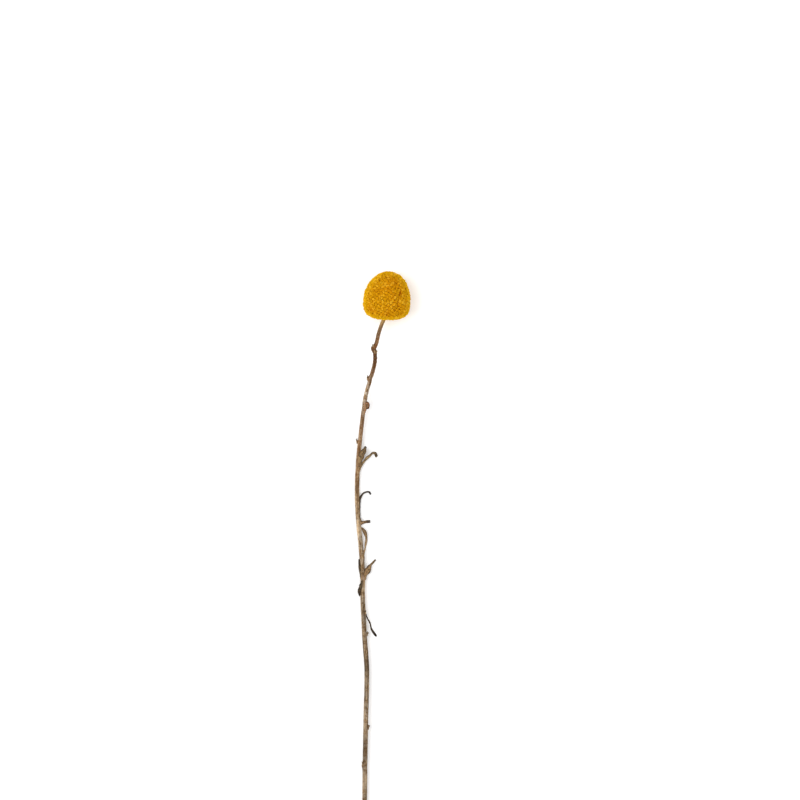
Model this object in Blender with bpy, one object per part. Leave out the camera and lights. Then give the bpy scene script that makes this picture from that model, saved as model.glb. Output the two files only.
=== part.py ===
# A dried billy button (Craspedia) stem, lying on a surface: one ball head of packed florets on a thin, slightly
# kinked stem with a few shrunken leaves. +Z is up, the head points along +X, and the origin is the middle of the
# small flat that the head rests on. Run it with: blender --background --python part.py

import math
import random

import bmesh
import bpy
from mathutils import Matrix, Vector

MM = 0.001
SEED = 7

# Head, in millimetres. It is a dome above its widest ring and a flatter bun below it.
HEAD_RADIUS = 13.75
HEAD_DOME = 17.7
HEAD_BUN = 10.6
HEAD_BUN_POWER = 3.0
HEAD_LEAN_DEG = 2.5
HEAD_SWAY = 0.8
HEAD_PITCH_DEG = 4.0
HEAD_PRESSED = 0.55
FLORETS = 480
FLORET_JITTER = 0.16
FLORET_TOP = 0.70
FLORET_SHOULDER = 0.22
FLORET_GROOVE = 0.95
FLORET_UNEVEN = 0.14
FLAT_CATCH = 0.12
SOCKET_REACH = 8.0
SOCKET_FLARE = 1.25

# Stem, in millimetres. "Back" is the distance from the head's middle towards the cut end, and "side" is +Y.
STEM_TOP_RADIUS = 1.08
STEM_FOOT_RADIUS = 1.42
STEM_TAPER_OVER = 170.0
STEM_SIDES = 12
STEM_RIB = 0.04
STEM_START = 7.4
STEM_END = 399.8
STEM_FINE_STEP = 2.0
STEM_FINE_TO = 60.0
STEM_STEP = 4.0
STEM_SIDE_AT = [
    (7.4, 0.5), (10.6, 1.8), (13.6, 3.1), (16.5, 4.1), (19.5, 5.0), (22.4, 5.6), (25.4, 6.4),
    (27.1, 7.3), (29.5, 7.0), (34.2, 6.9), (38.3, 7.6), (46.0, 9.8), (54.8, 12.3), (66.6, 14.1),
    (81.4, 15.8), (95.0, 17.0), (110.8, 17.6), (128.5, 17.0), (143.3, 15.4), (161.0, 14.2),
    (172.2, 14.3), (198.1, 13.1), (217.0, 11.8), (242.9, 12.3), (273.0, 12.9), (293.6, 13.1),
    (345.0, 14.8), (399.8, 15.5),
]
# Height of the stem's underside over the surface. It touches at its widest bend and at its cut end.
STEM_CLEAR_AT = [
    (7.4, 11.2), (14.0, 10.7), (27.6, 9.0), (38.3, 8.2), (60.0, 5.2), (85.0, 2.1), (105.0, 0.35),
    (118.0, 0.0), (135.0, 0.35), (170.0, 1.5), (230.0, 2.4), (300.0, 1.9), (360.0, 0.6), (399.8, 0.0),
]
# Swellings and scars on the stem: back, angle round it, height, length along it, width round it in degrees.
STEM_BUMPS = [
    (28.6, -70.0, 0.55, 2.4, 120.0), (29.8, 30.0, 0.35, 1.6, 80.0), (45.4, -75.0, 0.75, 1.6, 60.0),
    (61.5, 75.0, 0.40, 2.2, 80.0), (82.5, -78.0, 0.80, 1.4, 45.0), (97.0, 60.0, 0.40, 3.0, 140.0),
    (130.0, 80.0, 0.35, 2.0, 90.0), (150.5, 60.0, 0.30, 2.6, 100.0), (162.0, 20.0, 0.35, 3.0, 200.0),
    (184.0, 70.0, 0.35, 2.2, 90.0), (195.8, 80.0, 0.55, 1.2, 45.0), (250.6, 75.0, 0.45, 1.4, 50.0),
    (273.0, -60.0, 0.50, 2.4, 80.0), (331.0, 20.0, 0.35, 3.0, 120.0),
]

# Gap between touching pieces, and the thickness of a dried leaf.
GAP = 0.3
BLADE = 0.62

# Leaves. A spine point is back, distance out from the stem's surface, and angle round the stem
# (0 is up, 90 is towards -Y). A width is the blade's at that share of its length.
LEAVES = {
    "leaf_top_curl": {
        "spine": [
            (64.6, 0.0, 56), (62.2, 0.05, 56), (60.2, 0.5, 58), (59.4, 1.4, 62), (60.4, 2.2, 66),
            (62.2, 2.1, 68),
        ],
        "width": [(0.0, 1.8), (0.4, 2.8), (0.8, 2.2), (1.0, 1.4)],
        "twist": (0, 0),
        "dark": 0.6,
    },
    "leaf_clasping": {
        "spine": [(95.0, 0.0, 38), (91.8, 0.2, 42), (89.0, 1.0, 50), (86.6, 1.9, 57), (84.6, 2.0, 60)],
        "width": [(0.0, 1.8), (0.3, 2.6), (0.7, 2.2), (1.0, 0.9)],
        "twist": (0, 25),
        "dark": 0.5,
    },
    "leaf_long_hook": {
        "spine": [
            (99.0, 0.0, 92), (96.0, 0.5, 90), (93.2, 2.3, 89), (90.8, 4.4, 88), (88.9, 6.2, 87),
            (89.0, 7.6, 86), (90.6, 8.3, 85),
        ],
        "width": [(0.0, 1.3), (0.4, 1.6), (0.8, 1.3), (1.0, 0.9)],
        "twist": (10, 70),
        "dark": 0.4,
    },
    "leaf_fine_hook": {
        "spine": [
            (127.0, 0.0, 76), (121.0, 0.05, 77), (115.6, 0.3, 78), (112.6, 1.6, 80), (111.4, 3.5, 82),
            (111.8, 5.2, 84), (113.6, 5.8, 84),
        ],
        "width": [(0.0, 1.8), (0.45, 1.6), (0.6, 0.9), (1.0, 0.7)],
        "twist": (0, 50),
        "dark": 0.7,
    },
    "leaf_stub": {
        "spine": [(131.0, 0.0, 80), (130.2, 1.4, 80), (129.8, 3.2, 80), (129.7, 5.0, 80)],
        "width": [(0.0, 1.7), (0.5, 1.3), (1.0, 1.2)],
        "twist": (70, 80),
        "dark": 0.6,
    },
    "leaf_ribbon": {
        "spine": [
            (151.5, 0.0, 74), (148.0, 0.1, 74), (144.6, 1.2, 75), (140.6, 2.2, 76), (136.8, 2.1, 76),
            (133.6, 0.9, 75),
        ],
        "width": [(0.0, 1.1), (0.35, 0.9), (0.6, 1.2), (0.85, 2.0), (1.0, 0.8)],
        "twist": (0, -35),
        "dark": 0.2,
    },
    "leaf_broad": {
        "spine": [
            (162.5, 0.0, 60), (160.6, 0.5, 66), (158.2, 1.7, 72), (155.8, 3.2, 76), (153.9, 4.8, 78),
            (152.6, 6.1, 78),
        ],
        "width": [(0.0, 1.6), (0.35, 2.8), (0.6, 2.2), (0.8, 1.0), (1.0, 0.7)],
        "twist": (20, 60),
        "dark": 0.35,
    },
    "leaf_sliver_upper": {
        "spine": [(161.5, 0.0, -62), (158.5, 0.1, -62), (155.0, 0.25, -64), (152.4, 0.2, -64)],
        "width": [(0.0, 1.0), (0.4, 1.5), (1.0, 0.8)],
        "twist": (0, 0),
        "dark": 0.85,
    },
    "leaf_sliver_lower": {
        "spine": [(171.5, 0.0, -70), (169.4, 0.5, -72), (167.2, 0.9, -72), (165.0, 0.5, -70)],
        "width": [(0.0, 1.0), (0.4, 1.6), (1.0, 0.9)],
        "twist": (0, 20),
        "dark": 0.85,
    },
    "leaf_trailing": {
        "spine": [(183.6, 0.0, 80), (186.4, 0.8, 80), (190.6, 2.4, 80), (194.6, 3.8, 80), (197.2, 4.8, 79)],
        "width": [(0.0, 1.2), (0.5, 1.1), (1.0, 0.8)],
        "twist": (0, 60),
        "dark": 0.75,
    },
    "leaf_foot": {
        "spine": [(333.0, 0.0, 24), (329.0, 0.05, 24), (324.6, 0.3, 26), (321.2, 1.1, 30), (319.4, 2.0, 34)],
        "width": [(0.0, 1.6), (0.4, 2.4), (0.8, 1.6), (1.0, 0.8)],
        "twist": (0, 20),
        "dark": 0.45,
    },
}
LEAF_SECTIONS = 13
LEAF_ACROSS = 4
LEAF_WAVE = 0.12
LEAF_WAVES = 2.7
LEAF_WAVE_FROM = 0.3


def clearScene():
    for thing in list(bpy.data.objects):
        bpy.data.objects.remove(thing, do_unlink=True)


def makeMaterial(name, colour, roughness):
    material = bpy.data.materials.new(name)
    material.use_nodes = True
    shader = material.node_tree.nodes["Principled BSDF"]
    shader.inputs["Base Color"].default_value = (*colour, 1.0)
    shader.inputs["Roughness"].default_value = roughness
    shader.inputs["Metallic"].default_value = 0.0
    material.diffuse_color = (*colour, 1.0)
    return material


def makeObject(name, mesh, material, smooth=False):
    mesh.materials.append(material)
    if smooth:
        mesh.shade_smooth()
        mesh.set_sharp_from_angle(angle=math.radians(50))
    thing = bpy.data.objects.new(name, mesh)
    bpy.context.scene.collection.objects.link(thing)
    return thing


def meshFrom(name, points, faces):
    """A mesh from points in millimetres, with its faces turned outwards."""
    mesh = bpy.data.meshes.new(name)
    mesh.from_pydata([Vector(p) * MM for p in points], [], faces)
    work = bmesh.new()
    work.from_mesh(mesh)
    bmesh.ops.recalc_face_normals(work, faces=work.faces)
    work.to_mesh(mesh)
    work.free()
    mesh.validate()
    return mesh


def along(points, at):
    """A smooth curve through (place, value) points, read at one place."""
    last = len(points) - 1
    i = max(0, min(last - 1, sum(1 for p, _ in points[1:] if p <= at)))
    (p0, v0), (p1, v1) = points[i], points[i + 1]
    before = points[max(i - 1, 0)]
    after = points[min(i + 2, last)]
    slope0 = (v1 - before[1]) / (p1 - before[0])
    slope1 = (after[1] - v0) / (after[0] - p0)
    span = p1 - p0
    t = (at - p0) / span
    a, b = t * t * (3 - 2 * t), t * (1 - t) * (1 - t)
    c = t * t * (t - 1)
    return v0 * (1 - a) + v1 * a + span * (slope0 * b + slope1 * c)


def throughPoints(points, share):
    """A smooth curve through points in space, read at a share of the way along."""
    last = len(points) - 1
    i = min(int(share * last), last - 1)
    t = share * last - i
    p0, p1 = points[i], points[i + 1]
    before = points[i - 1] if i > 0 else p0 * 2 - p1
    after = points[i + 2] if i + 2 <= last else p1 * 2 - p0
    slope0, slope1 = (p1 - before) / 2, (after - p0) / 2
    return (
        p0 * (1 + t * t * (2 * t - 3))
        + p1 * (t * t * (3 - 2 * t))
        + slope0 * (t * (1 - t) ** 2)
        + slope1 * (t * t * (t - 1))
    )


# Stem

def stemRadius(back):
    share = min(max(back / STEM_TAPER_OVER, 0.0), 1.0)
    return STEM_TOP_RADIUS + (STEM_FOOT_RADIUS - STEM_TOP_RADIUS) * share


def stemCentre(back):
    height = along(STEM_CLEAR_AT, back) + stemRadius(back) * (1 + STEM_RIB)
    return Vector((-back, along(STEM_SIDE_AT, back), height))


def stemFrame(back):
    """The stem's direction there, and the two directions across it that count as up and as -Y."""
    direction = (stemCentre(back + 0.2) - stemCentre(back - 0.2)).normalized()
    right = direction.cross(Vector((0, 0, 1))).normalized()
    up = right.cross(direction).normalized()
    if right.y > 0:
        right = -right
    return direction, up, right


def aroundStem(back, angle):
    _, up, right = stemFrame(back)
    turn = math.radians(angle)
    return up * math.cos(turn) + right * math.sin(turn)


def bumpHeight(back, angle):
    height = 0.0
    for place, where, tall, length, width in STEM_BUMPS:
        far = (back - place) / (length / 2)
        off = ((angle - where + 180) % 360 - 180) / (width / 2)
        if abs(far) < 3 and abs(off) < 3:
            height += tall * math.exp(-far * far - off * off)
    return height


def buildStem(material):
    places = []
    back = STEM_START
    while back < STEM_END - STEM_STEP / 2:
        places.append(back)
        back += STEM_FINE_STEP if back < STEM_FINE_TO else STEM_STEP
    places.append(STEM_END)
    points, faces = [], []
    for back in places:
        centre, radius = stemCentre(back), stemRadius(back)
        for side in range(STEM_SIDES):
            angle = 360 * side / STEM_SIDES
            rib = 1 + STEM_RIB * (1 if side % 2 == 0 else -1)
            points.append(centre + aroundStem(back, angle) * (radius * rib + bumpHeight(back, angle)))
    for ring in range(len(places) - 1):
        for side in range(STEM_SIDES):
            a = ring * STEM_SIDES + side
            b = ring * STEM_SIDES + (side + 1) % STEM_SIDES
            faces.append((a, b, b + STEM_SIDES))
            faces.append((a, b + STEM_SIDES, a + STEM_SIDES))
    for ring, back in ((0, places[0]), (len(places) - 1, places[-1])):
        first = ring * STEM_SIDES
        points.append(stemCentre(back))
        for side in range(STEM_SIDES):
            faces.append((len(points) - 1, first + side, first + (side + 1) % STEM_SIDES))
    return makeObject("stem", meshFrom("stem", points, faces), material, smooth=True)


# Head

def headReach(cosine):
    """How far the smooth head reaches from its middle, for the cosine of the angle from its top."""
    sine = math.sqrt(max(0.0, 1 - cosine * cosine))
    if cosine >= 0:
        return 1 / math.hypot(sine / HEAD_RADIUS, cosine / HEAD_DOME)
    power = HEAD_BUN_POWER
    return ((sine / HEAD_RADIUS) ** power + (-cosine / HEAD_BUN) ** power) ** (-1 / power)


def headTurn():
    """Turns the head's own axis, +Z, to lie along the surface, leaning to -Y and looking slightly up."""
    lean = Matrix.Rotation(math.radians(-HEAD_LEAN_DEG), 3, "Z")
    pitch = Matrix.Rotation(math.radians(90 - HEAD_PITCH_DEG), 3, "Y")
    return lean @ pitch


def floretPlaces():
    """Directions spread evenly over a ball, each moved a little."""
    rng = random.Random(SEED)
    golden = math.pi * (3 - math.sqrt(5))
    step = math.sqrt(4 * math.pi / FLORETS)
    places = []
    for i in range(FLORETS):
        z = 1 - (2 * i + 1) / FLORETS
        ring = math.sqrt(1 - z * z)
        point = Vector((ring * math.cos(golden * i), ring * math.sin(golden * i), z))
        nudge = Vector((rng.uniform(-1, 1), rng.uniform(-1, 1), rng.uniform(-1, 1)))
        places.append((point + nudge * FLORET_JITTER * step).normalized())
    return places


def cellsAround(places):
    """For each place, the corners of its cell in order, as numbers of the triangles of the ball's hull."""
    hull = bmesh.new()
    verts = [hull.verts.new(p) for p in places]
    bmesh.ops.convex_hull(hull, input=verts)
    bmesh.ops.triangulate(hull, faces=hull.faces)
    hull.faces.ensure_lookup_table()
    hull.faces.index_update()
    hull.verts.index_update()
    corners = [f.calc_center_median().normalized() for f in hull.faces]
    cells = []
    for vert in verts:
        out = vert.co.normalized()
        level = out.orthogonal().normalized()
        across = out.cross(level)
        ring = sorted(
            (f.index for f in vert.link_faces),
            key=lambda i: math.atan2(corners[i].dot(across), corners[i].dot(level)),
        )
        cells.append((out.copy(), ring))
    hull.free()
    return corners, cells


def headSurface(direction, raised, turn):
    """A point on the head, or raised from it, with the dome's top swayed to -Y."""
    point = direction * (headReach(direction.z) + raised)
    if point.z > 0:
        point.y -= HEAD_SWAY * (point.z / HEAD_DOME) ** 2
    return turn @ point


def headPoint(direction, raised, turn, lift):
    """A point of the head's relief, pressed flat where the head bears on the surface."""
    low = headSurface(direction, 0.0, turn).z + lift
    point = headSurface(direction, raised, turn)
    point.z += lift
    if low < FLAT_CATCH or point.z < 0:
        point.z = 0.0
    return point


def restHeight(turn):
    """How high the head's middle stands, with its lowest florets pressed in."""
    steps = 360
    lowest = 0.0
    for i in range(steps):
        angle = math.pi * i / steps
        direction = Vector((math.sin(angle), 0, math.cos(angle)))
        lowest = min(lowest, headSurface(direction, 0.0, turn).z)
    return -lowest - HEAD_PRESSED


def buildHead(material):
    rng = random.Random(SEED + 1)
    turn = headTurn()
    lift = restHeight(turn)
    corners, cells = cellsAround(floretPlaces())
    points = [headPoint(c, -FLORET_GROOVE, turn, lift) for c in corners]
    faces = []
    for place, ring in cells:
        top = rng.uniform(-FLORET_UNEVEN, FLORET_UNEVEN)
        first = len(points)
        for number in ring:
            edge = place.lerp(corners[number], FLORET_TOP).normalized()
            points.append(headPoint(edge, top - FLORET_SHOULDER, turn, lift))
        points.append(headPoint(place, top, turn, lift))
        for j, number in enumerate(ring):
            k = (j + 1) % len(ring)
            faces.append((number, ring[k], first + k))
            faces.append((number, first + k, first + j))
            faces.append((first + j, first + k, len(points) - 1))
    head = makeObject("flower_head", meshFrom("flower_head", points, faces), material)
    socket = stemSocket()
    cut = head.modifiers.new("stem socket", "BOOLEAN")
    cut.operation = "DIFFERENCE"
    cut.solver = "EXACT"
    cut.object = socket
    return head


def stemSocket():
    """The cutter for the hole in the head's underside that the stem stands in."""
    inner = stemCentre(STEM_START) + (stemCentre(STEM_START) - stemCentre(STEM_START + 1)).normalized() * GAP
    outer = stemCentre(STEM_START + SOCKET_REACH)
    radius = stemRadius(STEM_START) * (1 + STEM_RIB) + GAP
    axis = outer - inner
    mesh = bpy.data.meshes.new("socket_cutter")
    work = bmesh.new()
    bmesh.ops.create_cone(
        work, cap_ends=True, segments=STEM_SIDES, radius1=radius * MM, radius2=radius * MM * SOCKET_FLARE,
        depth=axis.length * MM,
    )
    work.to_mesh(mesh)
    work.free()
    mesh.transform(axis.to_track_quat("Z", "Y").to_matrix().to_4x4())
    mesh.transform(Matrix.Translation((inner + outer) / 2 * MM))
    cutter = bpy.data.objects.new("socket_cutter", mesh)
    bpy.context.scene.collection.objects.link(cutter)
    cutter.hide_render = True
    cutter.display_type = "WIRE"
    return cutter


# Leaves

def leafSpine(leaf):
    """The middle of the blade's thickness, as points in space."""
    spine = []
    for back, out, angle in leaf["spine"]:
        far = stemRadius(back) * (1 + STEM_RIB) + GAP + BLADE / 2 + out
        spine.append(stemCentre(back) + aroundStem(back, angle) * far)
    return spine


def buildLeaf(name, leaf, material):
    """A closed blade along its spine. It hugs the stem at its base and flattens towards its tip."""
    spine = leafSpine(leaf)
    points, faces = [], []
    for section in range(LEAF_SECTIONS):
        share = section / (LEAF_SECTIONS - 1)
        centre = throughPoints(spine, share)
        ahead = throughPoints(spine, min(share + 0.02, 1.0))
        behind = throughPoints(spine, max(share - 0.02, 0.0))
        direction = (ahead - behind).normalized()
        outward = centre - stemCentre(-centre.x)
        outward = (outward - direction * outward.dot(direction)).normalized()
        twist = math.radians(leaf["twist"][0] + (leaf["twist"][1] - leaf["twist"][0]) * share)
        outward = Matrix.Rotation(twist, 3, direction) @ outward
        across = direction.cross(outward).normalized()
        half = along(leaf["width"], share) / 2
        wave = LEAF_WAVE * math.sin(2 * math.pi * LEAF_WAVES * share) if share > LEAF_WAVE_FROM else 0.0
        bend = 1 / (stemRadius(-centre.x) + GAP + BLADE / 2) * (1 - share)
        for face in (-1, 1):
            for j in range(LEAF_ACROSS):
                x = half * (2 * j / (LEAF_ACROSS - 1) - 1)
                drop = x * x * bend / 2
                points.append(centre + across * x + outward * (face * BLADE / 2 - drop + wave * x / half))
    row = 2 * LEAF_ACROSS
    for section in range(LEAF_SECTIONS - 1):
        for start, back_side in ((0, True), (LEAF_ACROSS, False)):
            for j in range(LEAF_ACROSS - 1):
                a = section * row + start + j
                b, c, d = a + 1, a + row + 1, a + row
                faces += [(a, b, c), (a, c, d)] if back_side else [(c, b, a), (d, c, a)]
        for j in (0, LEAF_ACROSS - 1):
            a = section * row + j
            b, c, d = a + LEAF_ACROSS, a + LEAF_ACROSS + row, a + row
            faces += [(a, b, c), (a, c, d)]
    for section in (0, LEAF_SECTIONS - 1):
        for j in range(LEAF_ACROSS - 1):
            a = section * row + j
            b, c, d = a + 1, a + LEAF_ACROSS + 1, a + LEAF_ACROSS
            faces += [(a, b, c), (a, c, d)]
    return makeObject(name, meshFrom(name, points, faces), material, smooth=True)


def buildAll():
    clearScene()
    yellow = makeMaterial("florets", (0.62, 0.33, 0.012), 0.9)
    tan = makeMaterial("stem", (0.36, 0.24, 0.12), 0.7)
    buildHead(yellow)
    buildStem(tan)
    light, dark = (0.24, 0.17, 0.10), (0.05, 0.035, 0.025)
    for name, leaf in LEAVES.items():
        colour = [a + (b - a) * leaf["dark"] for a, b in zip(light, dark)]
        buildLeaf(name, leaf, makeMaterial(name, colour, 0.8))


buildAll()
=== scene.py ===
import bisect
import math
import random

import bpy
from mathutils import Matrix, Vector, noise
from mathutils.bvhtree import BVHTree
from mathutils.kdtree import KDTree


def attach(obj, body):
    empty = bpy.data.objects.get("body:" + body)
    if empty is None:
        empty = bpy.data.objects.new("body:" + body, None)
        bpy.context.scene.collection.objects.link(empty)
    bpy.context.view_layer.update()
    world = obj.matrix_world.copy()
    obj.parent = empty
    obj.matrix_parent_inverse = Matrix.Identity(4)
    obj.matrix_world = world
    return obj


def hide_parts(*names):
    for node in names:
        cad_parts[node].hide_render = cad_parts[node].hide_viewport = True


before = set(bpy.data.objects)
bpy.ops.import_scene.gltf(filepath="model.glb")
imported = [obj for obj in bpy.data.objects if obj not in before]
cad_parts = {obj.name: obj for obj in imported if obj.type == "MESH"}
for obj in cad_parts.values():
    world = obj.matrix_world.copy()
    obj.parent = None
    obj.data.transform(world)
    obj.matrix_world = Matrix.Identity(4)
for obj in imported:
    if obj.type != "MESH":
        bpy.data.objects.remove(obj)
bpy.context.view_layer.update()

# Lengths in the dictionaries are millimetres, turned into metres when a mesh is made.
# Angles round the stem are in degrees: 0 looks up from the surface, 90 towards -Y.
mm = 0.001


def mix(a, b, share):
    return a + (b - a) * share


def smooth(low, high, value):
    share = min(max((value - low) / (high - low), 0.0), 1.0)
    return share * share * (3 - 2 * share)


def along(points, at):
    # reads a list of (place, value), eased between its points
    for (p0, v0), (p1, v1) in zip(points, points[1:]):
        if at <= p1:
            return mix(v0, v1, smooth(p0, p1, at))
    return points[-1][1]


def turned(a, b, turn):
    # from a towards b, by an angle in radians
    return a * math.cos(turn) + b * math.sin(turn)


def throughFour(before, p0, p1, after, t):
    # the smooth curve from p0 to p1 that also looks towards its neighbours
    slope0, slope1 = (p1 - before) / 2, (after - p0) / 2
    return (
        p0 * (1 + t * t * (2 * t - 3)) + p1 * (t * t * (3 - 2 * t))
        + slope0 * (t * (1 - t) ** 2) + slope1 * (t * t * (t - 1))
    )


def throughPoints(points, share):
    last = len(points) - 1
    i = min(int(share * last), last - 1)
    before = points[i - 1] if i > 0 else points[0] * 2 - points[1]
    after = points[i + 2] if i + 2 <= last else points[last] * 2 - points[last - 1]
    return throughFour(before, points[i], points[i + 1], after, share * last - i)


def makeMesh(name, points, faces, smoothShade=True, values=None, vectors=None):
    # points in millimetres; values and vectors are point attributes by name
    mesh = bpy.data.meshes.new(name)
    mesh.from_pydata([Vector(p) * mm for p in points], [], faces)
    for label, numbers in (values or {}).items():
        layer = mesh.attributes.new(label, "FLOAT", "POINT")
        layer.data.foreach_set("value", numbers)
    for label, many in (vectors or {}).items():
        layer = mesh.attributes.new(label, "FLOAT_VECTOR", "POINT")
        layer.data.foreach_set("vector", [c for v in many for c in v])
    if smoothShade and faces:
        mesh.shade_smooth()
    return mesh


def ringQuads(rings, around):
    # the faces between rings of points that follow one another
    faces = []
    for ring in range(rings - 1):
        for j in range(around):
            a, b = ring * around + j, ring * around + (j + 1) % around
            faces.append((a, a + around, b + around, b))
    return faces


def makeObject(name, data):
    thing = bpy.data.objects.new(name, data)
    bpy.context.scene.collection.objects.link(thing)
    return thing


def pressToSurface(mesh):
    # nothing reaches under the surface that the stem lies on
    flat = [0.0] * (len(mesh.vertices) * 3)
    mesh.vertices.foreach_get("co", flat)
    flat[2::3] = [max(z, 0.0) for z in flat[2::3]]
    mesh.vertices.foreach_set("co", flat)
    mesh.update()


def finishPiece(piece, node, material=None):
    if material:
        piece.data.materials.append(material)
    pressToSurface(piece.data)
    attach(piece, "root")
    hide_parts(node)
    print("piece", piece.name, len(piece.data.polygons), "faces")


# Node building. An input is given by its name or its number.

def feed(tree, node, inputs):
    # links an input to another node's socket or sets its value, and a colour is three numbers
    for label, value in inputs.items():
        socket = node.inputs[label]
        if isinstance(value, bpy.types.NodeSocket):
            tree.links.new(value, socket)
        else:
            socket.default_value = (*value, 1.0) if socket.type == "RGBA" else value


def addNode(tree, kind, inputs=None, **settings):
    node = tree.nodes.new(kind)
    for label, value in settings.items():
        setattr(node, label, value)
    feed(tree, node, inputs or {})
    return node


def addMath(tree, operation, *values):
    return addNode(tree, "ShaderNodeMath", dict(enumerate(values)), operation=operation).outputs[0]


def times(tree, a, b):
    return addMath(tree, "MULTIPLY", a, b)


def plus(tree, a, b):
    return addMath(tree, "ADD", a, b)


def addRamp(tree, factor, stops):
    node = addNode(tree, "ShaderNodeValToRGB", {"Fac": factor})
    while len(node.color_ramp.elements) < len(stops):
        node.color_ramp.elements.new(0.5)
    for element, (place, colour) in zip(node.color_ramp.elements, stops):
        element.position = place
        element.color = (*colour, 1.0)
    return node.outputs["Color"]


def addMix(tree, factor, a, b, blend="MIX"):
    inputs = {0: factor, 6: a, 7: b}
    return addNode(tree, "ShaderNodeMix", inputs, data_type="RGBA", blend_type=blend).outputs[2]


def addShade(tree, colour, factor):
    # lightens or darkens a colour by a number
    grey = addNode(tree, "ShaderNodeCombineXYZ", {"X": factor, "Y": factor, "Z": factor})
    return addMix(tree, 1.0, colour, grey.outputs[0], "MULTIPLY")


def addAttribute(tree, name, output="Fac"):
    return addNode(tree, "ShaderNodeAttribute", attribute_name=name).outputs[output]


def addNoise(tree, place, **inputs):
    return addNode(tree, "ShaderNodeTexNoise", {"Vector": place, **inputs}).outputs["Fac"]


def addGroup(tree, group, place, inputs):
    return addNode(tree, "ShaderNodeGroup", {"Place": place, **inputs}, node_tree=group)


def addPatches(tree, place, inputs):
    return addGroup(tree, dryPatches, place, inputs).outputs["Mask"]


def startTree(treeKind, name, inputs, outputs):
    # a node tree with named sockets, their identifiers, and the tree's two ends
    tree = bpy.data.node_groups.new(name, treeKind)
    sockets = {}
    for way, labels in (("INPUT", inputs), ("OUTPUT", outputs)):
        for label, kind in labels.items():
            socket = tree.interface.new_socket(label, in_out=way, socket_type="NodeSocket" + kind)
            sockets[label] = socket.identifier
    return tree, sockets, tree.nodes.new("NodeGroupInput").outputs, tree.nodes.new("NodeGroupOutput").inputs


# The two groups are the patterns that several materials share.

def dryPatchesGroup():
    # soft patches, as fading and drying leave them
    tree, _, start, end = startTree("ShaderNodeTree", "dryPatches", {
        "Place": "Vector", "Scale": "Float", "From": "Float", "To": "Float", "Amount": "Float",
    }, {"Mask": "Float"})
    cloud = addNoise(tree, start["Place"], Scale=start["Scale"], Detail=3.0, Roughness=0.6, Distortion=0.3)
    spread = addNode(tree, "ShaderNodeMapRange", {
        "Value": cloud, "From Min": start["From"], "From Max": start["To"],
    }, interpolation_type="SMOOTHSTEP")
    tree.links.new(times(tree, spread.outputs[0], start["Amount"]), end["Mask"])
    return tree


def dryFibresGroup():
    # streaks along a dried stem or leaf, whose own length is the Z of Place
    tree, _, start, end = startTree("ShaderNodeTree", "dryFibres", {
        "Place": "Vector", "Across": "Float", "Along": "Float", "Contrast": "Float",
    }, {"Streak": "Float", "Height": "Float"})
    stretch = addNode(tree, "ShaderNodeCombineXYZ", {
        "X": start["Across"], "Y": start["Across"], "Z": start["Along"],
    })
    place = addNode(tree, "ShaderNodeVectorMath", {
        0: start["Place"], 1: stretch.outputs[0],
    }, operation="MULTIPLY").outputs[0]
    broad = addNoise(tree, place, Scale=1.0, Detail=4.0, Roughness=0.65, Distortion=0.15)
    fine = addNoise(tree, place, Scale=4.3, Detail=2.0, Roughness=0.5)
    both = plus(tree, times(tree, broad, 0.65), times(tree, fine, 0.35))
    centred = times(tree, addMath(tree, "SUBTRACT", both, 0.5), start["Contrast"])
    tree.links.new(plus(tree, times(tree, centred, 2.6), 0.5), end["Streak"])
    tree.links.new(both, end["Height"])
    return tree


dryPatches, dryFibres = dryPatchesGroup(), dryFibresGroup()


def newMaterial(name, look):
    material = bpy.data.materials.new(name)
    material.use_nodes = True
    tree = material.node_tree
    shader = tree.nodes["Principled BSDF"]
    feed(tree, shader, {"Roughness": look["roughness"], "Specular IOR Level": look["specular"]})
    return material, tree, shader


def paint(tree, shader, colour, height, relief):
    # the colour, and a fine relief of some strength and depth
    strength, depth = relief
    bump = addNode(tree, "ShaderNodeBump", {"Height": height, "Strength": strength, "Distance": depth * mm})
    feed(tree, shader, {"Base Color": colour, "Normal": bump.outputs[0]})


# The flower head's form, as in the frame: a dome over its widest ring and a flatter bun under it

headForm = {
    "radius": 13.75, "dome": 17.7, "bun": 10.6, "bunPower": 3.0,
    "leanDeg": 2.5, "pitchDeg": 4.0, "sway": 0.8, "pressed": 0.55,
}


def headReach(direction):
    form = headForm
    sine = math.sqrt(max(0.0, 1 - direction.z * direction.z))
    if direction.z >= 0:
        return 1 / math.hypot(sine / form["radius"], direction.z / form["dome"])
    power = form["bunPower"]
    return ((sine / form["radius"]) ** power + (-direction.z / form["bun"]) ** power) ** (-1 / power)


def polarWay(polar, turn=0.0):
    return Vector((math.sin(polar) * math.cos(turn), math.sin(polar) * math.sin(turn), math.cos(polar)))


headTurn = (
    Matrix.Rotation(math.radians(-headForm["leanDeg"]), 3, "Z")
    @ Matrix.Rotation(math.radians(90 - headForm["pitchDeg"]), 3, "Y")
)


def headSwayed(point):
    # the dome leans a little to one side as it rises
    off = headForm["sway"] * (max(point.z, 0.0) / headForm["dome"]) ** 2
    return headTurn @ Vector((point.x, point.y - off, point.z))


def headRestHeight(steps=360):
    ways = [polarWay(math.pi * i / steps) for i in range(steps)]
    return -min(headSwayed(way * headReach(way)).z for way in ways) - headForm["pressed"]


headLift = headRestHeight()


def onHead(way, raised=0.0):
    point = headSwayed(way * (headReach(way) + raised))
    point.z += headLift
    return point


def headNormal(way, step=0.02):
    side, centre = way.orthogonal().normalized(), onHead(way)
    a, b = (onHead((way + off * step).normalized()) - centre for off in (side, way.cross(side)))
    normal = a.cross(b).normalized()
    return normal if normal.dot(headTurn @ way) > 0 else -normal


# The stem's line, read from the frame's own stem

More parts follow.
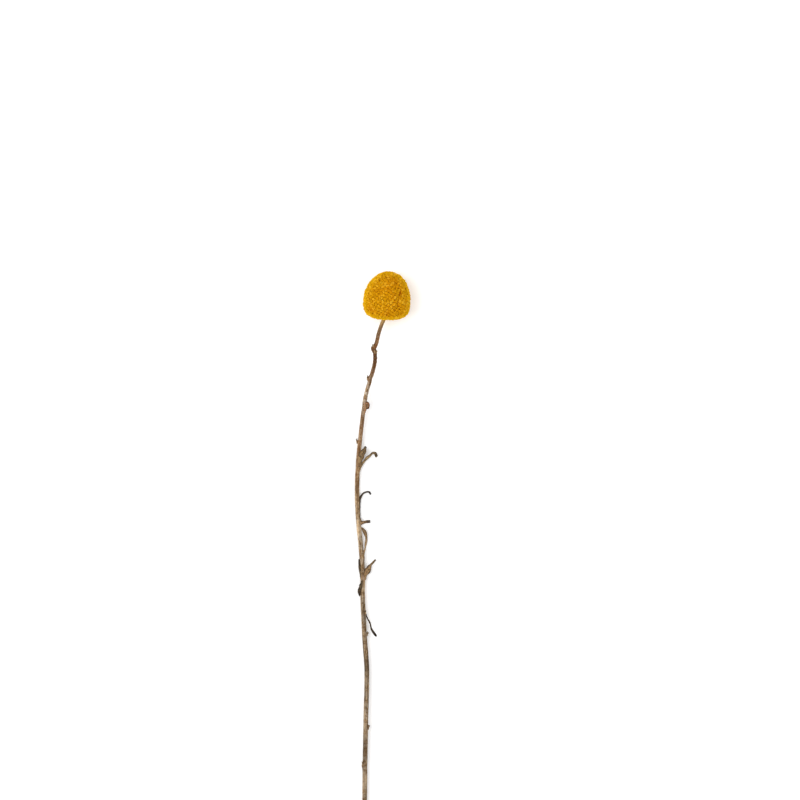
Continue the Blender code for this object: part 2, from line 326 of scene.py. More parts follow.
stemForm = {
    "start": 7.4, "end": 399.8,
    "topRadius": 1.08, "footRadius": 1.42, "taperOver": 170.0,
    "readStep": 1.0, "readInset": 0.2, "ringStep": 0.5, "sides": 40,
    "ribs": 9, "ribHeight": 0.075, "ribTwistDeg": 0.35, "ribDriftDeg": 40, "ribWander": 2.4,
    "lumps": 0.07, "headSocketFlare": 0.35, "flareEnd": 11.5,
    "throat": (8.5, 17.0), "throatShare": 0.7,
    "darkestGrooveShade": 0.92, "shade": 1.08, "shadeVaries": 0.62,
}

# The knuckle under the head, where the stem bends and has dried into cross wrinkles
knuckle = {
    "back": 28.6, "wrinklesAt": 32.5, "reach": 4.6,
    "wrinkleStep": 2.1, "wrinkleDepth": 0.17, "shrink": 0.08,
}

# Knuckles and scars: back along the stem, angle, height, length along the stem, width round it
stemMarks = [
    (27.6, -70, 0.75, 3.4, 120), (29.8, 30, 0.35, 1.6, 80), (45.4, -75, 0.80, 2.0, 60),
    (61.5, 75, 0.40, 2.2, 80), (82.5, -78, 0.80, 1.4, 45), (97.0, 60, 0.40, 3.0, 140),
    (130.0, 80, 0.35, 2.0, 90), (150.5, 60, 0.30, 2.6, 100), (162.0, 20, 0.35, 3.0, 200),
    (184.0, 70, 0.35, 2.2, 90), (195.8, 80, 0.55, 1.2, 45), (250.6, 75, 0.45, 1.4, 50),
    (273.0, -60, 0.50, 2.4, 80), (331.0, 20, 0.35, 3.0, 120),
]

# How the bark's colour drifts down the stem: back, brightness, redness, paleness
stemTones = [
    (8, 1.25, 0.00, 0.10), (14, 1.20, 0.22, 0.00), (21, 1.08, 0.40, 0.00), (26, 0.84, 0.72, 0.00),
    (31, 0.68, 0.80, 0.00), (37, 0.86, 0.62, 0.00), (42, 0.92, 0.50, 0.30), (47, 0.92, 0.30, 0.60),
    (54, 1.04, 0.12, 0.95), (62, 1.00, 0.28, 0.45), (76, 0.80, 0.40, 0.20), (95, 1.00, 0.24, 0.00),
    (117, 1.02, 0.05, 0.05), (137, 1.06, 0.00, 0.45), (160, 0.94, 0.05, 0.40), (185, 0.92, 0.00, 0.40),
    (205, 0.74, 0.00, 0.20), (214, 0.52, 0.00, 0.10), (226, 0.82, 0.00, 0.30), (240, 0.94, 0.00, 0.45),
    (264, 0.74, 0.05, 0.35), (300, 0.94, 0.05, 0.30), (400, 0.92, 0.05, 0.35),
]


def readStemLine(far=0.05, slab=0.003):
    # the middle of the frame's stem at even steps, by rays from both sides and from above and below
    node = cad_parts["stem"]
    points = [node.matrix_world @ v.co for v in node.data.vertices]
    tree = BVHTree.FromPolygons(points, [tuple(p.vertices) for p in node.data.polygons])
    count = int((stemForm["end"] - stemForm["start"]) / stemForm["readStep"])
    line = []
    for i in range(count):
        x = -(stemForm["start"] + stemForm["readInset"] + i * stemForm["readStep"]) * mm
        if not line:
            near = [p for p in points if abs(p.x - x) < slab]
            y, z = sum(p.y for p in near) / len(near), sum(p.z for p in near) / len(near)
        for _ in range(2):
            top = tree.ray_cast(Vector((x, y, z + far)), Vector((0, 0, -1)))[0]
            bottom = tree.ray_cast(Vector((x, y, z - far)), Vector((0, 0, 1)))[0]
            z = (top.z + bottom.z) / 2 if top and bottom else z
            left = tree.ray_cast(Vector((x, y + far, z)), Vector((0, -1, 0)))[0]
            right = tree.ray_cast(Vector((x, y - far, z)), Vector((0, 1, 0)))[0]
            y = (left.y + right.y) / 2 if left and right else y
        line.append(Vector((x, y, z)) / mm)
    return line


stemLine = readStemLine()
print("stem line read,", len(stemLine), "points")


def stemCentre(back):
    at = (back - stemForm["start"] - stemForm["readInset"]) / stemForm["readStep"]
    i = min(max(int(math.floor(at)), 0), len(stemLine) - 2)
    t = at - i
    if t < 0 or t > 1:
        return stemLine[i] + (stemLine[i + 1] - stemLine[i]) * t
    before, after = stemLine[max(i - 1, 0)], stemLine[min(i + 2, len(stemLine) - 1)]
    return throughFour(before, stemLine[i], stemLine[i + 1], after, t)


def stemRadius(back):
    return mix(stemForm["topRadius"], stemForm["footRadius"], min(back / stemForm["taperOver"], 1.0))


def stemWays(back, step=0.6):
    # along the stem, up from it, and out to its -Y side
    direction = (stemCentre(back + step) - stemCentre(back - step)).normalized()
    right = direction.cross(Vector((0, 0, 1))).normalized()
    right = -right if right.y > 0 else right
    up = right.cross(direction).normalized()
    return direction, up if up.z > 0 else -up, right


def aroundStem(back, angle):
    _, up, right = stemWays(back)
    return turned(up, right, math.radians(angle))


def angleGap(a, b):
    return (a - b + 180) % 360 - 180


# The florets, a few to a clump, side by side over the whole head. The rounds push them apart.

floretField = {
    "seed": 11,
    "spacing": 1.01, "perClump": (3, 4, 4, 5, 5), "clumpJitter": 0.35, "turnJitter": 0.02,
    "rounds": 26, "evenness": 1.06, "clumpPull": 0.09, "reach": 1.25, "push": 0.30,
    "splay": 0.30, "uneven": 0.30, "clumpRise": 0.6, "clumpCrown": 0.20, "lowered": 0.08,
    "stemHole": 1.75, "lowest": 0.12, "partingSway": 0.6,
    "floretSize": 1.09, "girth": (0.93, 1.12), "undersideGirth": 0.84, "clumpTone": 0.4,
    "looseTilt": 0.20,
}

# The pieces that the florets make, each from one height to another along the head's own axis
floretBands = {
    "florets_crown": (0.40, 2.0), "florets_waist": (-0.40, 0.40), "florets_underside": (-2.0, -0.40),
}

# Short dark partings between clumps on the upper side: from and to, seen from above, with their
# width and how far the florets beside them are sunk and pushed off
partings = [
    {"from": (4.9, -8.1), "to": (-2.9, -6.9), "width": 1.05, "sink": 0.62, "push": 0.22},
    {"from": (9.5, -5.4), "to": (12.5, -2.0), "width": 0.70, "sink": 0.30, "push": 0.12},
    {"from": (-1.5, 9.6), "to": (4.0, 10.4), "width": 0.70, "sink": 0.30, "push": 0.12},
]

# Relief is the strength and the depth of a finish's finest bumps.
floretFinish = {
    # gapShade is painted shade for the gaps between florets; the colours after it lighten towards the tips
    "gapShade": (0.33, 0.092, 0.0008),
    "wall": (0.47, 0.150, 0.0010),
    "crown": (0.63, 0.260, 0.0012),
    "tip": (0.90, 0.500, 0.0070),
    "warm": (0.60, 0.195, 0.0008),
    # rimSheen and its share and brightness: painted sheen on the head's sides, where the fuzzy florets catch
    # grazing light
    "rimSheen": (0.82, 0.495, 0.0030),
    "pale": (0.88, 0.600, 0.0450),
    "warmPatches": {"Scale": 95.0, "From": 0.42, "To": 0.68, "Amount": 0.45},
    "rimSheenShare": 0.9, "paleFrom": 0.70, "paleShare": 0.38,
    "bright": 0.75, "toneBright": 0.40, "rimSheenBright": 0.07,
    "grain": 5200.0, "relief": (0.35, 0.06), "roughness": 0.85, "specular": 0.03,
}

# the receptacle's dark orange is painted shade for the gaps between florets
receptacleFinish = {
    "colour": (0.40, 0.120, 0.0009), "shadow": (0.25, 0.066, 0.0006),
    "spotScale": 900.0, "roughness": 0.9, "specular": 0.04,
}


def floretMaterial():
    look = floretFinish
    material, tree, shader = newMaterial("floretYellow", look)
    place = tree.nodes.new("ShaderNodeTexCoord").outputs["Object"]
    height, tone, rimSheen = (addAttribute(tree, name) for name in ("tipness", "tone", "rimSheen"))
    # lighter towards each floret's tip and darker down its sides: painted shade in the gaps between the
    # florets
    colour = addRamp(tree, height, [
        (0.0, look["gapShade"]), (0.40, look["wall"]), (0.72, look["crown"]), (1.0, look["tip"]),
    ])
    colour = addMix(tree, addPatches(tree, place, look["warmPatches"]), colour, look["warm"])
    # the sides of the head are made lighter and yellower: painted sheen where the fuzzy florets catch grazing
    # light
    rimSheenShare = times(tree, rimSheen, times(tree, height, look["rimSheenShare"]))
    colour = addMix(tree, rimSheenShare, colour, look["rimSheen"])
    paleTips = times(tree, addMath(tree, "GREATER_THAN", tone, look["paleFrom"]), look["paleShare"])
    colour = addMix(tree, times(tree, paleTips, height), colour, look["pale"])
    bright = plus(tree, times(tree, tone, look["toneBright"]), look["bright"])
    bright = plus(tree, times(tree, rimSheen, look["rimSheenBright"]), bright)
    grain = addNoise(tree, place, Scale=look["grain"], Detail=2.0, Roughness=0.6)
    paint(tree, shader, addShade(tree, colour, bright), grain, look["relief"])
    return material


def dryMaterial(name, look):
    # the receptacle, the hairs and the bracts: one tone with darker spots
    material, tree, shader = newMaterial(name, look)
    spots = addPatches(tree, tree.nodes.new("ShaderNodeTexCoord").outputs["Object"], {
        "Scale": look["spotScale"], "From": 0.42, "To": 0.62, "Amount": 0.85,
    })
    paint(tree, shader, addMix(tree, spots, look["colour"], look["shadow"]), spots, (0.4, 0.1))
    return material


def floretMesh():
    # a small tubular floret: five blunt lobes round a shallow throat with its anthers in the middle
    rings = [  # height, radius at a lobe, radius at a notch, tipness
        (-1.30, 0.20, 0.20, 0.0), (-0.52, 0.40, 0.37, 0.28), (-0.18, 0.52, 0.45, 0.68),
        (0.04, 0.41, 0.32, 1.0), (-0.03, 0.18, 0.15, 0.66),
    ]
    # tipness is low deep down a floret, where the painted shade of the gaps darkens it
    notchDrop, notchTip, count = 0.09, 0.84, 10
    points, faces, tipness = [], [], []
    for level, (z, lobe, notch, tip) in enumerate(rings):
        for j in range(count):
            radius = notch if j % 2 else lobe
            drop = notchDrop if j % 2 and level in (2, 3) else 0.0
            turn = 2 * math.pi * j / count
            points.append((radius * math.cos(turn), radius * math.sin(turn), z - drop))
            tipness.append(tip * (notchTip if j % 2 else 1.0))
    for level in range(len(rings) - 1):
        for j in range(count):
            a, b = level * count + j, level * count + (j + 1) % count
            faces.append((a, b, b + count, a + count))
    points.append((0, 0, 0.12))
    tipness.append(0.98)
    last = (len(rings) - 1) * count
    faces += [(last + j, last + (j + 1) % count, len(points) - 1) for j in range(count)]
    faces.append(tuple(reversed(range(count))))
    return makeMesh("floretShape", points, faces, values={"tipness": tipness})


def headAreas(steps=720, step=0.004):
    # the head's surface from its top down to each polar angle
    areas, total = [0.0], 0.0
    for i in range(steps):
        polar = math.pi * (i + 0.5) / steps
        reach = headReach(polarWay(polar))
        slope = (headReach(polarWay(polar + step)) - headReach(polarWay(polar - step))) / (2 * step)
        total += 2 * math.pi * reach * math.sin(polar) * math.hypot(reach, slope) * math.pi / steps
        areas.append(total)
    return areas


def layFlorets():
    # clumps at even shares of the surface, then every floret pushed apart until they sit side by side
    field, spacing = floretField, floretField["spacing"]
    rng = random.Random(field["seed"])
    areas = headAreas()
    perFloret = spacing ** 2 * math.sqrt(3) / 2
    meanClump = sum(field["perClump"]) / len(field["perClump"])
    count = int(areas[-1] / perFloret / meanClump)
    clumps, ways, owners = [], [], []
    for i in range(count):
        jitter = rng.uniform(-field["clumpJitter"], field["clumpJitter"])
        polar = math.pi * bisect.bisect(areas, areas[-1] * (i + 0.5 + jitter) / count) / (len(areas) - 1)
        around = i * math.pi * (3 - math.sqrt(5)) + rng.uniform(-field["turnJitter"], field["turnJitter"])
        place = polarWay(polar, around)
        clumps.append({"place": place, "tone": rng.random(), "rise": rng.uniform(-1, 1)})
        members = rng.choice(field["perClump"])
        spin = rng.uniform(0, 2 * math.pi)
        side = place.orthogonal().normalized()
        spread = spacing / (2 * math.sin(math.pi / members))
        for k in range(members):
            off = turned(side, place.cross(side), spin + 2 * math.pi * k / members) * spread
            ways.append((place * headReach(place) + off).normalized())
            owners.append(i)
    for _ in range(field["rounds"]):
        places = [way * headReach(way) for way in ways]
        tree = KDTree(len(places))
        for i, place in enumerate(places):
            tree.insert(place, i)
        tree.balance()
        for i, place in enumerate(places):
            push = Vector()
            for near, j, far in tree.find_range(place, spacing * field["reach"]):
                pull = -field["clumpPull"] if owners[i] == owners[j] else field["clumpPull"]
                wanted = spacing * (field["evenness"] + pull)
                if j != i and far < wanted:
                    push += (place - near) * ((wanted - far) / max(far, 0.05) * field["push"])
            ways[i] = (place + push).normalized()
    return clumps, ways, owners


def partHead(point, normal):
    # florets beside a parting are pushed off its crooked line and sunk
    if point.z < headLift:
        return point
    for line in partings:
        a, b = Vector((*line["from"], 0)), Vector((*line["to"], 0))
        flat = Vector((point.x, point.y + noise.noise(point * 0.4) * floretField["partingSway"], 0))
        share = min(max((flat - a).dot(b - a) / (b - a).length_squared, 0.0), 1.0)
        off = flat - (a + (b - a) * share)
        weight = 1 - smooth(0.2, line["width"], off.length)
        point = point + off.normalized() * (weight * line["push"]) - normal * (weight * line["sink"])
    return point


def floretPlaces():
    field, share = floretField, floretField["clumpTone"]
    rng = random.Random(field["seed"] + 1)
    clumps, ways, owners = layFlorets()
    stemTop, stemWay = stemCentre(stemForm["start"]), stemWays(stemForm["start"] + 1)[0]
    places = []
    for way, owner in zip(ways, owners):
        clump = clumps[owner]
        normal = headNormal(way)
        away = onHead(way) - onHead(clump["place"])
        facing = (normal + away * field["splay"]).normalized()
        rise = field["uneven"] * (clump["rise"] * field["clumpRise"] + rng.uniform(-0.5, 0.5))
        rise -= field["lowered"]
        rise += field["clumpCrown"] * (1 - min(away.length / field["spacing"], 1.0))
        point = partHead(onHead(way) + normal * rise, normal)
        near = point - stemTop
        if way.z < 0 and (near - stemWay * near.dot(stemWay)).length < field["stemHole"]:
            continue
        point.z = max(point.z, field["lowest"])
        girth = rng.uniform(*field["girth"]) * mix(1.0, field["undersideGirth"], smooth(0.80, 1.0, -way.z))
        tone = rng.random() * (1 - share) + clump["tone"] * share
        # rimSheen grows as a floret faces away from straight up, the mask of the painted sheen
        places.append({"high": way.z, "point": point, "facing": facing, "girth": girth, "tone": tone,
                       "rimSheen": smooth(0.20, 0.95, 1 - normal.z)})
    return places


def turnBy(tree, rotation, axis, angle):
    turn = addNode(tree, "FunctionNodeAxisAngleToRotation", {"Axis": axis, "Angle": angle})
    return addNode(tree, "FunctionNodeRotateRotation", {
        "Rotation": rotation, "Rotate By": turn.outputs[0],
    }, rotation_space="LOCAL").outputs[0]


def randomNumber(tree, low, high, seed):
    inputs = {"Seed": seed, 2: low, 3: high}
    return addNode(tree, "FunctionNodeRandomValue", inputs, data_type="FLOAT").outputs[1]


def endPlacer(tree, points, shape, rotation, size, finish, end):
    item = addNode(tree, "GeometryNodeObjectInfo", {"Object": shape})
    placed = addNode(tree, "GeometryNodeInstanceOnPoints", {
        "Points": points, "Instance": item.outputs["Geometry"], "Rotation": rotation, "Scale": size,
    })
    real = addNode(tree, "GeometryNodeRealizeInstances", {"Geometry": placed.outputs[0]})
    dressed = addNode(tree, "GeometryNodeSetMaterial", {"Geometry": real.outputs[0], "Material": finish})
    tree.links.new(dressed.outputs[0], end["Geometry"])


def floretPlacer():
    # puts a floret on every point, facing the way that the point says and turned at random
    tree, sockets, start, end = startTree("GeometryNodeTree", "floretPlacer", {
        "Geometry": "Geometry", "Floret": "Object", "Floret size": "Float", "Loose tilt": "Float",
        "Seed": "Int", "Finish": "Material",
    }, {"Geometry": "Geometry"})
    facing = addNode(tree, "GeometryNodeInputNamedAttribute", {"Name": "facing"}, data_type="FLOAT_VECTOR")
    girth = addNode(tree, "GeometryNodeInputNamedAttribute", {"Name": "girth"}, data_type="FLOAT")
    aim = addNode(tree, "FunctionNodeAlignRotationToVector", {"Vector": facing.outputs[0]}, axis="Z")
    spun = turnBy(tree, aim.outputs[0], (0, 0, 1), randomNumber(tree, 0.0, 2 * math.pi, start["Seed"]))
    leant = turnBy(tree, spun, (1, 0, 0), start["Loose tilt"])
    size = times(tree, girth.outputs[0], start["Floret size"])
    endPlacer(tree, start["Geometry"], start["Floret"], leant, size, start["Finish"], end)
    return tree, sockets


def bakeNodes(carrier, name, placer, settings):
    # runs a geometry tree on an object and gives back a plain mesh object
    tree, sockets = placer
    modifier = carrier.modifiers.new("placer", "NODES")
    modifier.node_group = tree
    for label, value in settings.items():
        modifier[sockets[label]] = value
    view = bpy.context.evaluated_depsgraph_get()
    mesh = bpy.data.meshes.new_from_object(carrier.evaluated_get(view))
    mesh.name = name
    bpy.data.objects.remove(carrier, do_unlink=True)
    return makeObject(name, mesh)


def buildFlorets():
    field, finish, placer = floretField, floretMaterial(), floretPlacer()
    floret = makeObject("floretShape", floretMesh())
    places = floretPlaces()
    for name, (low, high) in floretBands.items():
        band = [place for place in places if low <= place["high"] < high]
        carrier = makeObject(name + "_places", makeMesh(
            name + "_places", [place["point"] for place in band], [],
            values={label: [place[label] for place in band] for label in ("girth", "tone", "rimSheen")},
            vectors={"facing": [place["facing"] for place in band]},
        ))
        piece = bakeNodes(carrier, name, placer, {
            "Floret": floret, "Floret size": field["floretSize"], "Loose tilt": field["looseTilt"],
            "Seed": field["seed"], "Finish": finish,
        })
        finishPiece(piece, "flower_head")
    bpy.data.objects.remove(floret, do_unlink=True)
    print("florets laid:", len(places))


def buildReceptacle():
    # the body under the florets, so that no gap looks through the head; its dark orange is painted shade for
    # those gaps
    sink, lumps, lowest, around, levels = 0.75, 0.12, 0.3, 72, 40
    points = []
    for level in range(1, levels):
        for j in range(around):
            way = polarWay(math.pi * level / levels, 2 * math.pi * j / around)
            point = onHead(way, noise.noise(way * 14) * lumps - sink)
            points.append(Vector((point.x, point.y, max(point.z, lowest))))
    faces = ringQuads(levels - 1, around)
    for pole, ring in ((1, 0), (-1, (levels - 2) * around)):
        points.append(onHead(Vector((0, 0, pole)), -sink))
        for j in range(around):
            a, b = ring + j, ring + (j + 1) % around
            faces.append((a, b, len(points) - 1) if pole > 0 else (b, a, len(points) - 1))
    piece = makeObject("head_receptacle", makeMesh("head_receptacle", points, faces))
    finishPiece(piece, "flower_head", dryMaterial("receptacleShadeOrange", receptacleFinish))


# The stem

barkFinish = {
    "light": (0.540, 0.385, 0.225),
    "tan": (0.315, 0.205, 0.105),
    "brown": (0.120, 0.066, 0.027),
    # grooveShade is painted shade in the hollows between ribs and in the knuckle's wrinkles
    "grooveShade": (0.075, 0.038, 0.015),
    "pale": (0.56, 0.48, 0.37),
    "knuckle": (0.215, 0.072, 0.016),
    "throat": (0.66, 0.43, 0.12),
    "speck": (0.040, 0.022, 0.011),
    "pith": (0.50, 0.40, 0.27),
    "streaks": {"Across": 1.9, "Along": 0.085, "Contrast": 3.3},
    "threads": {"Across": 7.0, "Along": 0.30, "Contrast": 1.8},
    "threadShare": 0.40,
    "blots": {"Scale": 0.80, "From": 0.50, "To": 0.60, "Amount": 0.80},
    "faded": {"Scale": 0.50, "From": 0.42, "To": 0.56, "Amount": 0.90},
    "rust": {"Scale": 0.80, "From": 0.38, "To": 0.56, "Amount": 0.80},
    "specks": {"Scale": 2.6, "From": 0.66, "To": 0.72, "Amount": 0.75},
    "relief": (0.6, 0.12), "roughness": 0.72, "specular": 0.14,
}


def barkMaterial():
    look = barkFinish
    material, tree, shader = newMaterial("driedBark", look)
    place = addAttribute(tree, "barkPlace", "Vector")
    streaks, threads = (addGroup(tree, dryFibres, place, look[label]) for label in ("streaks", "threads"))
    colour = addRamp(tree, streaks.outputs["Streak"], [
        (0.12, look["brown"]), (0.45, look["tan"]), (0.85, look["light"]),
    ])
    threadShare = times(tree, threads.outputs["Streak"], look["threadShare"])
    colour = addMix(tree, threadShare, colour, look["brown"])
    colour = addMix(tree, addPatches(tree, place, look["blots"]), colour, look["brown"])
    pale = times(tree, addPatches(tree, place, look["faded"]), addAttribute(tree, "paleness"))
    colour = addMix(tree, pale, colour, look["pale"])
    colour = addMix(tree, addAttribute(tree, "throat"), colour, look["throat"])
    rust = plus(tree, addPatches(tree, place, look["rust"]), 0.4)
    colour = addMix(tree, times(tree, rust, addAttribute(tree, "redness")), colour, look["knuckle"])
    colour = addMix(tree, addPatches(tree, place, look["specks"]), colour, look["speck"])
    # painted shade in the bark's hollows
    colour = addMix(tree, addAttribute(tree, "grooveShade"), colour, look["grooveShade"])
    colour = addShade(tree, colour, addAttribute(tree, "brightness"))
    colour = addMix(tree, addAttribute(tree, "pith"), colour, look["pith"])
    height = plus(tree, times(tree, threads.outputs["Height"], 0.6), streaks.outputs["Height"])
    paint(tree, shader, colour, height, look["relief"])
    return material


def markHeight(back, angle):
    height = 0.0
    for place, where, tall, length, width in stemMarks:
        far, off = (back - place) / (length / 2), angleGap(angle, where) / (width / 2)
        if abs(far) < 3 and abs(off) < 3:
            height += tall * math.exp(-far * far - off * off)
    return height


def barkPoint(back, angle):
    # how far the bark stands from the stem's middle, how dark the painted shade in its hollows is, and how
    # red its scars are
    form, turn = stemForm, math.radians(angle)
    ring = Vector((math.cos(turn), math.sin(turn), 0))

    def rough(scale, x, y, z):
        return noise.noise(ring * scale + Vector((x, y, z)))

    drift = noise.noise(Vector((back * 0.02, 3.1, 0.7))) * form["ribDriftDeg"]
    wander = rough(1.3, 0, 0, back * 0.05) * form["ribWander"]
    rib = math.cos(math.radians(form["ribs"] * (angle + back * form["ribTwistDeg"] + drift)) + wander)
    near = math.exp(-((back - knuckle["wrinklesAt"]) / knuckle["reach"]) ** 2)
    phase = 2 * math.pi * (back - knuckle["back"]) / knuckle["wrinkleStep"]
    wrinkle = math.sin(phase + rough(1.1, 0, 0, 9) * 5) * knuckle["wrinkleDepth"] * near
    lump = rough(0.9, 0, 0, back * 0.11 + 20) * form["lumps"]
    flare = form["headSocketFlare"] * (1 - smooth(form["start"], form["flareEnd"], back))
    mark = markHeight(back, angle)
    out = stemRadius(back) * (1 - knuckle["shrink"] * near) * 0.985
    out += form["ribHeight"] * (rib if rib > 0 else rib * 1.5) * (1 + near)
    # the hollows between ribs and the knuckle's wrinkles are darkened with painted shade, darker still along
    # stained stretches, and one side of the bark is darker than the other
    stained = smooth(-0.20, 0.30, rough(0.9, 5, 0, back * 0.045))
    grooveShade = max(0.0, -rib - 0.2) * (0.45 + 0.9 * stained) + max(0.0, -wrinkle) * 7
    grooveShade = min(form["darkestGrooveShade"], grooveShade)
    shade = form["shade"] + form["shadeVaries"] * rough(0.8, 0, 9, back * 0.09)
    return out + lump + wrinkle + mark + flare, grooveShade, 0.45 * min(mark / 0.5, 1.0), shade


def buildStem():
    form, sides = stemForm, stemForm["sides"]
    count = int((form["end"] - form["start"]) / form["ringStep"])
    points, place = [], []
    values = {label: [] for label in ("grooveShade", "redness", "paleness", "brightness", "throat", "pith")}
    for ring in range(count + 1):
        back = mix(form["start"], form["end"], ring / count)
        centre, (_, up, right) = stemCentre(back), stemWays(back)
        brightness, red, pale = (along([(tone[0], tone[k]) for tone in stemTones], back) for k in (1, 2, 3))
        throat = form["throatShare"] * (1 - smooth(*form["throat"], back))
        for side in range(sides):
            angle = 360 * side / sides
            turn = math.radians(angle)
            out, grooveShade, scar, shade = barkPoint(back, angle)
            points.append(centre + turned(up, right, turn) * out)
            place.append(Vector((math.cos(turn), math.sin(turn), back)))
            looks = (grooveShade, min(red + scar, 0.95), pale, brightness * shade, throat, 0.0)
            for label, value in zip(values, looks):
                values[label].append(value)
    # the cut end: a thin rim of bark, then a shallow step down to the pith
    last, centre, direction = count * sides, stemCentre(form["end"]), stemWays(form["end"] - 1)[0]
    for inward, deeper, pith in ((0.90, 0.0, 0.3), (0.84, 0.22, 0.9), (0.45, 0.30, 1.0), (0.12, 0.26, 1.0)):
        for side in range(sides):
            rough = noise.noise(Vector((side * 0.9, inward * 7, 1.0))) * 0.08
            edge = points[last + side] - centre
            points.append(centre + edge * inward - direction * (deeper + rough))
            place.append(place[last + side])
            for label, value in zip(values, (0.15, 0.0, 0.5, 1.0, 0.0, pith)):
                values[label].append(value)
    faces = ringQuads(len(points) // sides, sides)
    faces.append(tuple(range(sides)))
    faces.append(tuple(reversed(range(len(points) - sides, len(points)))))
    mesh = makeMesh("stem_bark", points, faces, values=values, vectors={"barkPlace": place})
    piece = makeObject("stem_bark", mesh)
    finishPiece(piece, "stem", barkMaterial())
    return piece


# Fine pale hairs, pressed along the bark

hairField = {
    "seed": 5, "perSquareMetre": 900000.0, "length": 0.75, "radius": 0.014, "tipOff": 3, "root": 0.04,
    "lift": 0.30, "spread": 0.5, "size": (0.5, 1.2),
}

hairFinish = {
    "colour": (0.46, 0.40, 0.30), "shadow": (0.30, 0.25, 0.18),
    "spotScale": 300.0, "roughness": 0.8, "specular": 0.2,
}


def hairPlacer():
    # scatters hairs over the bark, lying towards the head and standing a little off the surface
    tree, sockets, start, end = startTree("GeometryNodeTree", "hairPlacer", {
        "Geometry": "Geometry", "Hair": "Object", "Hairs per square metre": "Float", "Lift": "Float",
        "Spread": "Float", "Seed": "Int", "Finish": "Material",
    }, {"Geometry": "Geometry"})
    points = addNode(tree, "GeometryNodeDistributePointsOnFaces", {
        "Mesh": start["Geometry"], "Density": start["Hairs per square metre"], "Seed": start["Seed"],
    })
    swerve = addNode(tree, "FunctionNodeRandomValue", {
        "Seed": start["Seed"], 0: (-1, -1, -1), 1: (1, 1, 1),
    }, data_type="FLOAT_VECTOR")
    lean = addNode(tree, "ShaderNodeCombineXYZ", {"X": 1.0}).outputs[0]
    for way, share in ((points.outputs["Normal"], start["Lift"]), (swerve.outputs[0], start["Spread"])):
        scaled = addNode(tree, "ShaderNodeVectorMath", {0: way, "Scale": share}, operation="SCALE").outputs[0]
        lean = addNode(tree, "ShaderNodeVectorMath", {0: lean, 1: scaled}, operation="ADD").outputs[0]
    aim = addNode(tree, "FunctionNodeAlignRotationToVector", {"Vector": lean}, axis="Z")
    size = randomNumber(tree, *hairField["size"], start["Seed"])
    endPlacer(tree, points.outputs["Points"], start["Hair"], aim.outputs[0], size, start["Finish"], end)
    return tree, sockets


def buildHairs(stem):
    # each hair is a thin spike on a three-cornered foot
    field, wide = hairField, hairField["radius"]
    points = [(wide * math.cos(2.1 * k), wide * math.sin(2.1 * k), -field["root"]) for k in range(3)]
    points.append((wide * field["tipOff"], 0, field["length"]))
    faces = [(0, 1, 3), (1, 2, 3), (2, 0, 3), (2, 1, 0)]
    hair = makeObject("hairShape", makeMesh("hairShape", points, faces))
    piece = bakeNodes(makeObject("stem_hairs_ground", stem.data.copy()), "stem_hairs", hairPlacer(), {
        "Hair": hair, "Hairs per square metre": field["perSquareMetre"], "Lift": field["lift"],
        "Spread": field["spread"], "Seed": field["seed"], "Finish": dryMaterial("paleHair", hairFinish),
    })
    bpy.data.objects.remove(hair, do_unlink=True)
    finishPiece(piece, "stem")


# Leaves. A spine point is back along the stem, out from its surface, and the angle round it.
# Width is what shows across the leaf, and curl is how far round it is rolled, in radians.
# Twist is how far its face has turned at each end, in degrees.

